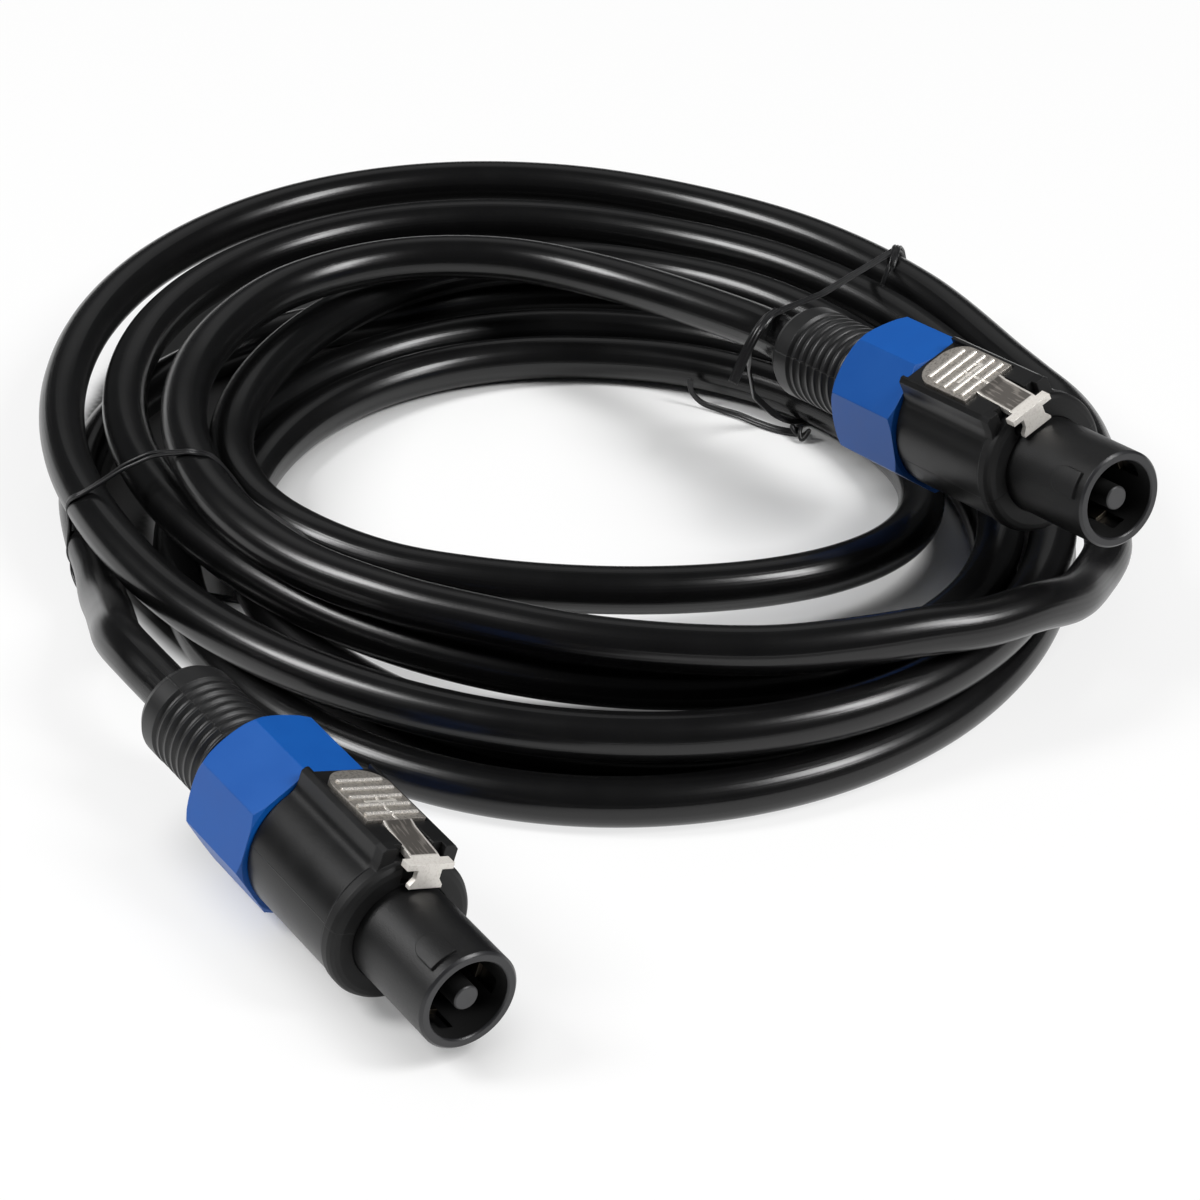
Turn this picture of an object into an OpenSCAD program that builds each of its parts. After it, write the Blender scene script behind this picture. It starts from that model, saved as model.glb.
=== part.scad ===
// Loudspeaker cable in a coil, held with two ties, with a four-pole twist-lock connector on each end.

/* [Cable] */
// Outer diameter of the cable
cable_d = 10.4; // [9.8:0.1:10.6]
// Diameter of one insulated conductor
wire_d = 2.9; // [2.4:0.1:3.1]

/* [Coil] */
// Turns that spiral inwards on the floor
turns_in = 2.42; // [2.41:0.01:2.43]
// Turns that spiral outwards above them
turns_out = 2.85; // [2.84:0.01:2.86]
// Half width of the outermost loop on the floor
floor_wide = 105.2; // [105:0.1:105.4]
// Half length of the outermost loop on the floor
floor_long = 107.2; // [107:0.1:107.4]
// Half width of the next loop on the floor
second_wide = 88.8; // [88.6:0.1:89]
// Half length of the next loop on the floor
second_long = 101.6; // [101.4:0.1:101.8]
// Half width of the innermost loop
inner_wide = 76; // [75.8:0.1:76.2]
// Half length of the innermost loop
inner_long = 59.7; // [59.5:0.1:59.9]
// Half width of the innermost upper loop
fourth_wide = 85.6; // [85.4:0.1:85.8]
// Half length of the innermost upper loop
fourth_long = 105.7; // [105.5:0.1:105.9]
// Half width of the next upper loop
fifth_wide = 95; // [94.8:0.1:95.2]
// Half length of the next upper loop
fifth_long = 122; // [121.8:0.1:122.2]
// Half width of the outermost upper loop
top_wide = 118.8; // [118.6:0.1:119]
// Half length of the outermost upper loop
top_long = 153.5; // [153.3:0.1:153.7]
// Free height between a loop and the loops above it
layer_gap = 0.6; // [0.5:0.1:1]

/* [Nose] */
// Outer diameter of the nose barrel
nose_d = 21; // [20.6:0.1:21.4]
// Bore of the socket in the nose
socket_d = 16.8; // [16.4:0.1:17]
// Depth of the socket
socket_depth = 17; // [15:0.5:18]
// Length of the nose in front of the shell
nose_len = 24; // [23:0.5:26]
// Diameter of the centre post
post_d = 5.2; // [4.6:0.1:5.6]
// How far the post's end lies behind the rim
post_recess = 1; // [0.5:0.1:2]
// Height of the bayonet lugs
lug_h = 0.7; // [0.5:0.1:1.2]
// Width of the bayonet lugs
lug_w = 5.8; // [5:0.2:6.6]
// Length of the bayonet lugs
lug_len = 7.4; // [6.6:0.2:8]
// Angle between the latch and the bayonet lugs
lug_turn = 41; // [36:1:46]

/* [Shell] */
// Diameter of the shell at its front collar
collar_d = 30.8; // [30.4:0.1:31.2]
// Diameter of the shell behind the collar
shell_d = 30; // [29.4:0.1:30.2]
// Length of the shell in front of the nut
shell_len = 32; // [31:0.5:34]
// Bore of the shell
shell_bore = 23; // [22.6:0.1:23.4]
// Diameter of the threaded tube behind the shell
thread_d = 26.8; // [26.2:0.1:27.2]
// Length of the threaded tube
thread_len = 14; // [13:0.5:15]
// Width of the latch boss
boss_w = 17; // [16.6:0.2:17.4]
// Height of the boss's top above the axis
boss_z = 17.4; // [17.2:0.1:17.6]
// Radius of the hollow where the boss meets the round body
boss_fillet = 4; // [3:0.5:5]
// Depth of the channel that the thumb plate slides in
channel_depth = 1.2; // [1:0.1:1.3]

/* [Latch] */
// Width of the thumb plate
plate_w = 13.4; // [12.6:0.2:13.6]
// Length of the thumb plate
plate_len = 18; // [17:0.2:18.2]
// Thickness of the plate
plate_t = 1.5; // [1.2:0.1:1.8]
// Width of the neck
neck_w = 6.6; // [6:0.2:7]
// Width of the cross bar
bar_w = 10.4; // [9.8:0.2:10.8]
// Travel of the latch
latch_travel = 3; // [2.5:0.1:3]

/* [Nut and boot] */
// Width of the nut across its eight flats
nut_flats = 31.6; // [31.2:0.1:32]
// Length of the nut
nut_len = 23; // [22:0.5:24]
// Advance of the nut in one turn
nut_pitch = 2; // [1.5:0.5:2]
// Largest diameter of the boot
boot_d = 21.4; // [20:0.2:22]
// Length of the boot
boot_len = 30.5; // [29:0.5:33]
// Number of ribs on the boot
boot_ribs = 8; // [5:1:9]

/* [Ties] */
// Thickness of a tie
tie_t = 0.6; // [0.5:0.1:0.8]
// Width of the flat tie
tie_w = 2.6; // [2:0.2:3]
// Width of each wire of the thin tie
thin_w = 0.9; // [0.7:0.1:1]

/* [Fits] */
// Radial clearance of a running fit
fit = 0.1; // [0.05:0.01:0.1]
// Gap between parts that pass each other
gap = 0.3; // [0.25:0.05:0.4]

/* [Hidden] */

// direction from the middle of the coil to its start on the floor
coil_start = 176;
// turns from the start at which each loop's shape holds; between two of them it changes smoothly
loop_at = [0, 1.2, turns_in, turns_in + 0.88, turns_in + 1.85, turns_in + turns_out];
// middle, half width, half length and turned direction of each loop
loops = [
  [4.7, 12.9, floor_wide, floor_long, 81],
  [18.6, 4.8, second_wide, second_long, 69.2],
  [-5.8, 18.6, inner_wide, inner_long, 34.6],
  [-6.4, 11.2, fourth_wide, fourth_long, 98],
  [-12.5, 17.1, fifth_wide, fifth_long, 93.9],
  [-1.9, 3.3, top_wide, top_long, 74.3]
];

// connector on the floor: middle of its nose, nose-down angle, lean of its latch, turn of its nut
floor_at = [153.2, -113.2, 14.88];
floor_dip = 2.2;
floor_lean = -18.6;
floor_nut = 0;
// connector on the coil
top_at = [121.8, 64.2, 48.2];
top_dip = -7.2;
top_lean = 20;
top_nut = -13;

// route of the free stretch behind the floor connector, from the coil to the connector
floor_route = [
  [-107.6, -10.1, 5.2], [-106.8, -22.6, 5.2], [-104.2, -35.1, 5.2], [-99.6, -47.1, 5.2],
  [-92.7, -58.1, 5.2], [-84.2, -67.6, 5.2], [-74.7, -75.6, 5.2], [-64.2, -82.1, 5.2],
  [-53.7, -86.9, 5.2], [-43.2, -90.8, 5.2], [-32.2, -94.4, 5.2], [-21.2, -98.9, 6],
  [-10.2, -102.8, 9.6], [0.8, -107.2, 14], [12, -111.4, 17.9]
];
// route of the free stretch behind the upper connector, from the coil to the connector
top_route = [
  [50.4, 115, 16.2], [61.4, 109.6, 16.2], [73, 102.8, 16.2], [84.6, 93.9, 16.2], [96.8, 84.6, 16.6],
  [105.6, 72.6, 17.8], [113.4, 60.6, 21.4], [117.2, 47.2, 25.6], [117.8, 33.6, 27], [115.2, 20.4, 28.1],
  [110.6, 5.4, 28.2], [103.8, -9.6, 28], [93.8, -23.6, 27.9], [79.8, -38.6, 27.9], [62.8, -51.6, 27.9],
  [43.8, -63.6, 27.9], [18.8, -73.1, 27.9], [-9.2, -75.1, 27.9], [-43.2, -65.6, 27.9],
  [-73.2, -43.6, 27.9], [-89.2, -14.6, 28.1], [-88.2, 14.4, 28.1], [-74.2, 37.4, 28.2],
  [-51.2, 52.4, 28.6]
];

// each tie stands in an upright plane: a point of it and its direction outwards
thin_tie_at = [-25.2, -58.6];
thin_tie_turn = 250;
flat_tie_at = [-10.2, 62.4];
flat_tie_turn = 115.5;

cable_r = cable_d / 2;
layer_pitch = cable_d + layer_gap;
turns = turns_in + turns_out;
rings_per_turn = 24;
// the coil's six sides lie outside the round cable and stand on a flat
coil_r = cable_r / cos(30);
lead_sides = 8;

// axial places along a connector, measured back from the rim of its nose
collar_x = nose_len;
insert_x = collar_x + 3;
shell_end = collar_x + shell_len;
thread_end = shell_end + thread_len;
nut_x = shell_end + gap;
nut_end = nut_x + nut_len;
boot_end = nut_end + boot_len;
// the cable stays straight behind the boot for the nut's travel
nut_turns = 3;
nut_travel = nut_pitch * nut_turns;
stub_end = boot_end + nut_travel + 2;
jacket_x = thread_end - 8;
insert_end = insert_x + 13;
clamp_len = 8;
clamp_end = insert_end + clamp_len;

lug_x = 2.4;
insert_d = shell_bore - fit;
contact_x = 9;
contact_t = 1;
contact_w = 3;
contact_r = socket_d / 2 - 0.4;
clamp_w = 5;
clamp_r0 = 4.6;
clamp_r1 = 9.6;
screw_d = 3;

// latch: the plate slides in a channel of the boss, and its tongue drops in front of the collar
channel_z = boss_z - channel_depth;
latch_z = channel_z + gap;
latch_top_z = latch_z + plate_t;
tongue_t = 1.2;
tongue_x = collar_x - 2.6;
tongue_z = nose_d / 2 + 0.5;
bar_x = tongue_x + tongue_t + 1.2;
bar_z = latch_z - 1.5;
bar_t = 1.3;
plate_x = collar_x + 11;
plate_end = plate_x + plate_len;
neck_x = bar_x + latch_travel + gap;
stem_x = collar_x + 14;
stem_t = 2;
stem_w = 3.8;
slot_w = stem_w + 0.4;
slot_wall = 2;
slot_z = shell_bore / 2 + 1.4;
slot_end = shell_end - slot_wall;
spring_wire = 0.5;
spring_d = 2.4;
spring_coils = 9;
foot_w = 7.4;

nut_r = nut_flats / 2 / cos(22.5);
nut_bore = thread_d + 2 * fit;
chuck_d = shell_bore - 0.4;
chuck_x = jacket_x + 1;
cone_x = thread_end + 1;
cone_end = nut_end - 2;
lip_x = cone_end - 1.5;
seat = 0.05;
boot_bore = cable_d + 2 * fit;
spigot_d = 16.6;

// ---- the coil as a formula: an ellipse whose middle, size and direction change smoothly with the turns
function ease(t) = t <= 0 ? 0 : t >= 1 ? 1 : t * t * (3 - 2 * t);
function loop_slope(i) =
  let (a = max(i - 1, 0), b = min(i + 1, len(loops) - 1))
  (loops[b] - loops[a]) / (loop_at[b] - loop_at[a]);
function loop_shape(u, i = 0) =
  i < len(loops) - 2 && u > loop_at[i + 1] ? loop_shape(u, i + 1) :
  let (
    span = loop_at[i + 1] - loop_at[i],
    t = (u - loop_at[i]) / span,
    rise = t * t * (3 - 2 * t)
  )
  loops[i] * (1 - rise) + loops[i + 1] * rise
    + loop_slope(i) * span * t * (1 - t) * (1 - t) - loop_slope(i + 1) * span * t * t * (1 - t);
// the loops ride over each tie by its thickness and a little room
tie_lift = gap + tie_t + 0.06;
tie_level = 16;
tie_reach = 24;
tie_slack = 1.06;
function along(p, at, turn) = (p[0] - at[0]) * cos(turn) + (p[1] - at[1]) * sin(turn);
function aside(p, at, turn) = (p[1] - at[1]) * cos(turn) - (p[0] - at[0]) * sin(turn);
function lift_by(p, at, turn) =
  along(p, at, turn) < -20 ? 0 : 1 - ease((abs(aside(p, at, turn)) - tie_level) / tie_reach);
function lift(p) =
  tie_lift * max(lift_by(p, thin_tie_at, thin_tie_turn), lift_by(p, flat_tie_at, flat_tie_turn));
function turned(v, a) = [v[0] * cos(a) - v[1] * sin(a), v[0] * sin(a) + v[1] * cos(a)];
function coil_xy(u) =
  let (shape = loop_shape(u), a = coil_start - 360 * u - shape[4])
  [shape[0], shape[1]] + turned([shape[2] * cos(a), shape[3] * sin(a)], shape[4]);
// the climb to the upper layer takes the half turn around the reversal
function height(u) =
  cable_r + layer_pitch * ease((u - turns_in + 0.25) / 0.5) + lift(coil_xy(u));
function coil_point(u) = concat(coil_xy(u), [height(u)]);
function unit(v) = v / norm(v);
function lifted(route) = [for (p = route) p + [0, 0, lift(p)]];

coil_n = round(turns * rings_per_turn);
coil_mid = [for (i = [0:coil_n]) coil_point(turns * i / coil_n)];
coil_dir0 = unit(coil_mid[0] - coil_mid[1]);
coil_dir1 = unit(coil_mid[coil_n] - coil_mid[coil_n - 1]);
coil_head = coil_mid[0] + coil_dir0 * cable_d;
coil_tail = coil_mid[coil_n] + coil_dir1 * cable_d;
coil_path = concat([coil_head], coil_mid, [coil_tail]);

// a connector's own point in the part's frame
function dipped(v, a) = [v[0] * cos(a) + v[2] * sin(a), v[1], -v[0] * sin(a) + v[2] * cos(a)];
function on_floor(x) = floor_at + dipped([-x, 0, 0], floor_dip);
function on_top(x) = top_at + dipped([-x, 0, 0], top_dip);

lead_floor_path = concat(
  [coil_head, coil_head + coil_dir0 * cable_d], lifted(floor_route),
  [on_floor(stub_end + cable_d), on_floor(stub_end)]
);
lead_top_path = concat(
  [coil_tail, coil_tail + coil_dir1 * cable_d], lifted(top_route),
  [on_top(stub_end + cable_d), on_top(stub_end)]
);

// the smallest clear distance between any two stretches of the coil over half a turn apart
half_turn = floor(rings_per_turn / 2);
coil_gap = min([
  for (i = [0:coil_n - half_turn])
    for (j = [i + half_turn:coil_n]) norm(coil_mid[i] - coil_mid[j])
]) - cable_d;

// ---- a tube with flat sides along a path of points
function path_dir(p, i) =
  let (n = len(p) - 1)
  i == 0 ? unit(p[1] - p[0]) :
  i == n ? unit(p[n] - p[n - 1]) : unit(unit(p[i + 1] - p[i]) + unit(p[i] - p[i - 1]));
function ring(p, i, r, sides, start) =
  let (
    d = path_dir(p, i),
    s = unit(cross([0, 0, 1], d)),
    w = cross(d, s)
  )
  [for (k = [0:sides - 1]) p[i] + r * (cos(start + 360 * k / sides) * s + sin(start + 360 * k / sides) * w)];

module tube_along(p, r, sides, start) {
  n = len(p);
  points = [for (i = [0:n - 1]) each ring(p, i, r, sides, start)];
  walls = [
    for (i = [0:n - 2])
      for (k = [0:sides - 1])
        let (a = i * sides + k, b = i * sides + (k + 1) % sides)
        each [[a, a + sides, b], [b, a + sides, b + sides]]
  ];
  head = [for (k = [1:sides - 2]) [0, k, k + 1]];
  base = (n - 1) * sides;
  tail = [for (k = [1:sides - 2]) [base, base + k + 1, base + k]];
  polyhedron(points = points, faces = concat(walls, head, tail), convexity = 20);
}

module cable_coil() {
  echo(least_gap_of_coil = coil_gap);
  color([0.06, 0.06, 0.065])
    tube_along(coil_path, coil_r, 6, 0);
}

module cable_lead_floor() {
  color([0.06, 0.06, 0.065])
    tube_along(lead_floor_path, cable_r, lead_sides, 22.5);
}

module cable_lead_top() {
  color([0.06, 0.06, 0.065])
    tube_along(lead_top_path, cable_r, lead_sides, 22.5);
}

// ---- ties: each runs round the outline of the loops where they cross the tie's plane
// a crossing's place in the plane, and how much wider a loop looks there than when it is cut square
function crossings(path, at, turn) = [
  for (i = [0:len(path) - 2])
    let (
      a = aside(path[i], at, turn),
      b = aside(path[i + 1], at, turn),
      step = path[i + 1] - path[i],
      q = path[i] + step * (a / (a - b))
    )
    if (a * b < 0 && along(q, at, turn) > -20) [along(q, at, turn), q[2], norm(step) / abs(b - a)]
];

module tie_outline(places, room) {
  hull()
    for (p = places)
      translate([p[0], p[1]])
        scale([p[2] * tie_slack, 1])
          circle(r = (cable_r + room) / cos(30), $fn = 6);
}

module tie_band(places, at, turn, wide) {
  translate([at[0], at[1], 0])
    rotate([0, 0, turn])
      rotate([90, 0, 0])
        translate([0, 0, -wide / 2])
          linear_extrude(wide)
            difference() {
              tie_outline(places, gap + tie_t);
              tie_outline(places, gap);
            }
}

module tie_thin() {
  places = [
    for (p = [coil_path, lead_floor_path, lead_top_path]) each crossings(p, thin_tie_at, thin_tie_turn)
  ];
  color([0.08, 0.08, 0.08])
    tie_band(places, thin_tie_at, thin_tie_turn, thin_w);
}

module tie_flat() {
  color([0.08, 0.08, 0.08])
    tie_band(crossings(coil_path, flat_tie_at, flat_tie_turn), flat_tie_at, flat_tie_turn, tie_w);
}

// ---- one connector in its own frame: the rim of its nose at the origin, its nose along +X, its latch on +Z
module lathe(points) {
  rotate([0, 90, 0])
    rotate([0, 0, 90])
      rotate_extrude($fn = 96)
        polygon([for (p = points) [p[1], -p[0]]]);
}

module rod(x0, x1, d) {
  translate([-x1, 0, 0])
    rotate([0, 90, 0])
      cylinder(h = x1 - x0, d = d, $fn = 64);
}

module round_bar(x0, x1, d, y, z) {
  translate([0, y, z])
    rod(x0, x1, d);
}

module at_floor() {
  translate(floor_at)
    rotate([0, floor_dip, 0])
      rotate([floor_lean, 0, 0])
        children();
}

module at_top() {
  translate(top_at)
    rotate([0, top_dip, 0])
      rotate([top_lean, 0, 0])
        children();
}

module nose_lug(side) {
  rotate([lug_turn + side, 0, 0])
    intersection() {
      difference() {
        rod(lug_x, lug_x + lug_len, nose_d + 2 * lug_h);
        rod(lug_x - 1, lug_x + lug_len + 1, nose_d - 0.6);
      }
      translate([0, 0, nose_d / 2 - 3])
        linear_extrude(lug_h + 5)
          union() {
            translate([-lug_x - lug_len + lug_w / 2, 0])
              circle(d = lug_w, $fn = 48);
            translate([-lug_x - lug_len + lug_w / 2, -lug_w / 2])
              square([lug_len - lug_w / 2, lug_w]);
          }
    }
}

module nose_body() {
  difference() {
    union() {
      lathe([
        [0, 0], [0, nose_d / 2 - 0.5], [0.5, nose_d / 2], [insert_x, nose_d / 2],
        [insert_x, insert_d / 2], [insert_end, insert_d / 2], [insert_end, 0]
      ]);
      nose_lug(0);
      nose_lug(180);
    }
    lathe([
      [-1, 0], [-1, socket_d / 2 + 0.3], [0, socket_d / 2 + 0.3], [0.3, socket_d / 2],
      [socket_depth, socket_d / 2], [socket_depth, 0]
    ]);
    rod(socket_depth - 1, insert_end + 1, post_d + 2 * fit);
    for (q = [0:3])
      rotate([q * 90, 0, 0])
        translate([-insert_end - 1, -contact_w / 2 - fit, contact_r - fit])
          cube([insert_end - 4 + 1, contact_w + 2 * fit, contact_t + 2 * fit]);
  }
}

module post_body() {
  lathe([
    [post_recess, 0], [post_recess, post_d / 2 - 0.3], [post_recess + 0.3, post_d / 2],
    [insert_end, post_d / 2], [insert_end, post_d / 2 + 1.4], [insert_end + 1.5, post_d / 2 + 1.4],
    [insert_end + 1.5, 0]
  ]);
}

module contact() {
  difference() {
    union() {
      translate([-insert_end - 0.5, -contact_w / 2, contact_r])
        cube([insert_end - contact_x, contact_w, contact_t]);
      translate([-clamp_end, -clamp_w / 2, clamp_r0])
        cube([clamp_len - 0.3, clamp_w, clamp_r1 - clamp_r0]);
    }
    translate([-insert_end - clamp_len / 2, 0, clamp_r0 + 2])
      cylinder(h = clamp_r1, d = screw_d + 2 * fit, $fn = 48);
    translate([-clamp_end - 1, 0, clamp_r0 + 2.4])
      rotate([0, 90, 0])
        cylinder(h = clamp_len - 2, d = 2.6, $fn = 48);
  }
}

module contacts_body() {
  for (q = [0:3])
    rotate([q * 90, 0, 0])
      contact();
}

module screw() {
  translate([-insert_end - clamp_len / 2, 0, 0])
    difference() {
      translate([0, 0, clamp_r0 + 4])
        cylinder(h = shell_bore / 2 - clamp_r0 - 4 - 0.6, d = screw_d, $fn = 48);
      translate([-screw_d, -0.3, shell_bore / 2 - 1.5])
        cube([2 * screw_d, 0.6, 2]);
    }
}

module screws_body() {
  for (q = [0:3])
    rotate([q * 90, 0, 0])
      screw();
}

module wires_body() {
  for (q = [0:3])
    rotate([q * 90, 0, 0])
      hull() {
        translate([-jacket_x, 0, cable_d / 2 - wire_d / 2 - 0.6])
          rotate([0, 90, 0])
            cylinder(h = 0.5, d = wire_d - 0.4, $fn = 24);
        translate([-clamp_end - 0.6, 0, clamp_r0 + 2.4])
          rotate([0, 90, 0])
            cylinder(h = 0.5, d = wire_d - 0.4, $fn = 24);
      }
  for (q = [0:3])
    rotate([q * 90, 0, 0])
      translate([-clamp_end - 0.6, 0, clamp_r0 + 2.4])
        rotate([0, 90, 0])
          cylinder(h = clamp_len - 3, d = 2.4, $fn = 48);
}

module cable_end_body() {
  rod(jacket_x, stub_end, cable_d);
}

// the shell: a turned body with a bore, a threaded tube behind it and the latch boss on its top
module shell_outer() {
  lathe([
    [collar_x, 0], [collar_x, collar_d / 2 - 2], [collar_x + 0.25, collar_d / 2 - 1],
    [collar_x + 0.8, collar_d / 2 - 0.35], [collar_x + 1.6, collar_d / 2],
    [collar_x + 3.4, collar_d / 2], [collar_x + 4, shell_d / 2], [shell_end, shell_d / 2],
    [shell_end, thread_d / 2], [thread_end - 0.6, thread_d / 2], [thread_end, thread_d / 2 - 0.6],
    [thread_end, 0]
  ]);
}

// the boss's cross-section: an upright block that runs into the round body in a hollow
module boss_section() {
  w = boss_w / 2;
  reach = shell_d / 2 + boss_fillet;
  z = sqrt(reach * reach - (w + boss_fillet) * (w + boss_fillet));
  difference() {
    union() {
      polygon([
        [-w, 11.8], [-w, boss_z - 0.8], [-w + 0.8, boss_z],
        [w - 0.8, boss_z], [w, boss_z - 0.8], [w, 11.8]
      ]);
      for (k = [-1, 1])
        polygon([
          [k * (w - 1), z], [k * (w + boss_fillet), z],
          [k * (w + boss_fillet) * shell_d / 2 / reach, z * shell_d / 2 / reach], [k * (w - 1), 11.8]
        ]);
    }
    for (k = [-1, 1])
      translate([k * (w + boss_fillet), z])
        circle(r = boss_fillet, $fn = 64);
  }
}

module boss() {
  translate([-shell_end, 0, 0])
    rotate([90, 0, 90])
      linear_extrude(shell_len - 1.6)
        boss_section();
}

// the channel in the boss that lets the plate, the neck and the cross bar slide back
module channel() {
  translate([-shell_end - 1, -plate_w / 2 - gap, channel_z])
    cube([shell_end + 1 - plate_x + gap, plate_w + 2 * gap, 5]);
  translate([-plate_x - 1, -neck_w / 2 - gap, bar_z - gap])
    cube([plate_x + 1 - collar_x + 5, neck_w + 2 * gap, 6]);
  translate([-neck_x, -bar_w / 2 - gap, bar_z - gap])
    cube([neck_x - collar_x + 5, bar_w + 2 * gap, 6]);
  // the tongue draws back into this notch
  translate([-tongue_x - tongue_t - latch_travel - gap, -foot_w / 2 - gap, tongue_z - gap])
    cube([8, foot_w + 2 * gap, 10]);
  // the stem and the spring run in this slot
  translate([-slot_end, -slot_w / 2, slot_z])
    cube([slot_end - stem_x + gap, slot_w, 8]);
}

module shell_body() {
  difference() {
    union() {
      shell_outer();
      boss();
    }
    rod(collar_x - 1, insert_x + 1, nose_d + 2 * fit);
    rod(insert_x, thread_end + 1, shell_bore);
    channel();
  }
}

// the latch: thumb plate with ribs, neck, cross bar, tongue with a flared foot, and the stem in its slot
module latch_body() {
  r = 5.4;
  union() {
    translate([0, 0, latch_z])
      linear_extrude(plate_t)
        union() {
          translate([-plate_end + r, -plate_w / 2])
            square([plate_len - r, plate_w]);
          translate([-plate_end, -plate_w / 2 + r])
            square([r, plate_w - 2 * r]);
          for (s = [-1, 1])
            translate([-plate_end + r, s * (plate_w / 2 - r)])
              circle(r = r, $fn = 64);
        }
    for (i = [0:4])
      translate([-plate_x - 2 - i * 3, 0, latch_top_z])
        rotate([90, 0, 0])
          cylinder(h = plate_w - 1.6 - (i > 3 ? 1.6 : 0), d = 1, center = true, $fn = 24);
    // neck, sloping down to the cross bar
    rotate([90, 0, 0])
      translate([0, 0, -neck_w / 2])
        linear_extrude(neck_w)
          polygon([
            [-plate_x - 1, latch_z], [-plate_x - 1, latch_top_z], [-plate_x, latch_top_z],
            [-plate_x + 2, latch_top_z - 0.6], [-bar_x - 1, bar_z + bar_t + 0.3], [-bar_x, bar_z + bar_t],
            [-tongue_x, bar_z + bar_t], [-tongue_x, bar_z], [-bar_x, bar_z], [-plate_x + 1, latch_z]
          ]);
    translate([-bar_x, -bar_w / 2, bar_z])
      cube([bar_x - tongue_x, bar_w, bar_t]);
    translate([-tongue_x - tongue_t, 0, 0])
      rotate([90, 0, 90])
        linear_extrude(tongue_t)
          polygon([
            [-foot_w / 2, tongue_z], [foot_w / 2, tongue_z], [foot_w / 2, tongue_z + 0.7],
            [foot_w / 2 - 1, tongue_z + 2], [foot_w / 2 - 1, bar_z + 0.5], [-foot_w / 2 + 1, bar_z + 0.5],
            [-foot_w / 2 + 1, tongue_z + 2], [-foot_w / 2, tongue_z + 0.7]
          ]);
    translate([-stem_x - stem_t, -stem_w / 2, slot_z + 0.2])
      cube([stem_t, stem_w, latch_z - slot_z]);
  }
}

function spring_path() =
  let (
    x0 = stem_x + stem_t + spring_wire / 2 + 0.05,
    x1 = slot_end - spring_wire / 2 - 0.05,
    n = spring_coils * 8,
    z = slot_z + (spring_d + spring_wire) / 2 + 0.2
  )
  [
    for (i = [0:n])
      let (a = 360 * i / 8)
      [-x0 - (x1 - x0) * i / n, spring_d / 2 * cos(a), z + spring_d / 2 * sin(a)]
  ];

// the spring's rings stand on its own axis, so each ring is turned to the wire
function spring_ring(p, a) =
  [for (k = [0:5]) p + spring_wire / 2 * (cos(60 * k) * [1, 0, 0] + sin(60 * k) * [0, cos(a), sin(a)])];

module spring_body() {
  p = spring_path();
  n = len(p);
  points = [for (i = [0:n - 1]) each spring_ring(p[i], 45 * i)];
  walls = [
    for (i = [0:n - 2])
      for (k = [0:5])
        let (a = i * 6 + k, b = i * 6 + (k + 1) % 6)
        each [[a, a + 6, b], [b, a + 6, b + 6]]
  ];
  base = (n - 1) * 6;
  head = [for (k = [1:4]) [0, k, k + 1]];
  tail = [for (k = [1:4]) [base, base + k + 1, base + k]];
  polyhedron(points = points, faces = concat(walls, head, tail), convexity = 20);
}

// the chuck grips the jacket when the nut presses on its cone
module chuck_body() {
  difference() {
    lathe([
      [chuck_x, cable_r + fit], [chuck_x, chuck_d / 2], [cone_x, chuck_d / 2],
      [lip_x - 0.6, spigot_d / 2], [lip_x - 0.6, cable_r + fit]
    ]);
    for (q = [0:5])
      rotate([q * 60 + 30, 0, 0])
        translate([-cone_end - 1, -0.5, 0])
          cube([cone_end - cone_x + 5, 1, 20]);
  }
}

module nut_solid() {
  intersection() {
    translate([-nut_end, 0, 0])
      rotate([0, 90, 0])
        rotate([0, 0, 22.5])
          cylinder(h = nut_len, r = nut_r, $fn = 8);
    lathe([
      [nut_x, 0], [nut_x, nut_r - 1], [nut_x + 0.8, nut_r + 0.2], [nut_end - 2.8, nut_r + 0.2],
      [nut_end - 1.6, nut_r - 0.7], [nut_end - 0.6, nut_r - 2], [nut_end, nut_r - 3.6], [nut_end, 0]
    ]);
  }
}

module nut_body() {
  difference() {
    nut_solid();
    rod(nut_x - 1, cone_x, nut_bore);
    lathe([
      [cone_x - 0.01, 0], [cone_x - 0.01, chuck_d / 2 + 0.4], [lip_x - 0.3, spigot_d / 2 + 0.9],
      [cone_end, spigot_d / 2 + 0.9], [cone_end, 0]
    ]);
    rod(cone_end - 1, nut_end + 1, spigot_d + 2 * fit);
  }
}

module boot_body() {
  rib_x0 = nut_end + 1.6;
  rib_step = (boot_len - 9) / boot_ribs;
  difference() {
    lathe(concat(
      [
        [lip_x, 0], [lip_x, spigot_d / 2], [lip_x + 0.5, spigot_d / 2 + 0.6],
        [cone_end - seat, spigot_d / 2 + 0.6], [cone_end - seat, spigot_d / 2],
        [nut_end + seat, spigot_d / 2], [nut_end + seat, boot_d / 2 - 0.9]
      ],
      [for (i = [0:boot_ribs - 1])
        each [
          [rib_x0 + i * rib_step - 0.2, boot_d / 2 - 0.9],
          [rib_x0 + i * rib_step + 0.5, boot_d / 2 - 0.1],
          [rib_x0 + i * rib_step + rib_step - 1.2, boot_d / 2 - 0.1],
          [rib_x0 + i * rib_step + rib_step - 0.5, boot_d / 2 - 0.9]
        ]],
      [
        [boot_end - 7.6, boot_d / 2 - 0.9], [boot_end - 7, boot_d / 2], [boot_end - 2.6, boot_d / 2],
        [boot_end - 1, boot_d / 2 - 0.8], [boot_end - 0.2, boot_d / 2 - 2.2], [boot_end, boot_d / 2 - 3.2],
        [boot_end, 0]
      ]
    ));
    rod(lip_x - 1, boot_end + 1, boot_bore);
  }
}

module black() {
  color([0.07, 0.07, 0.075])
    children();
}

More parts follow.
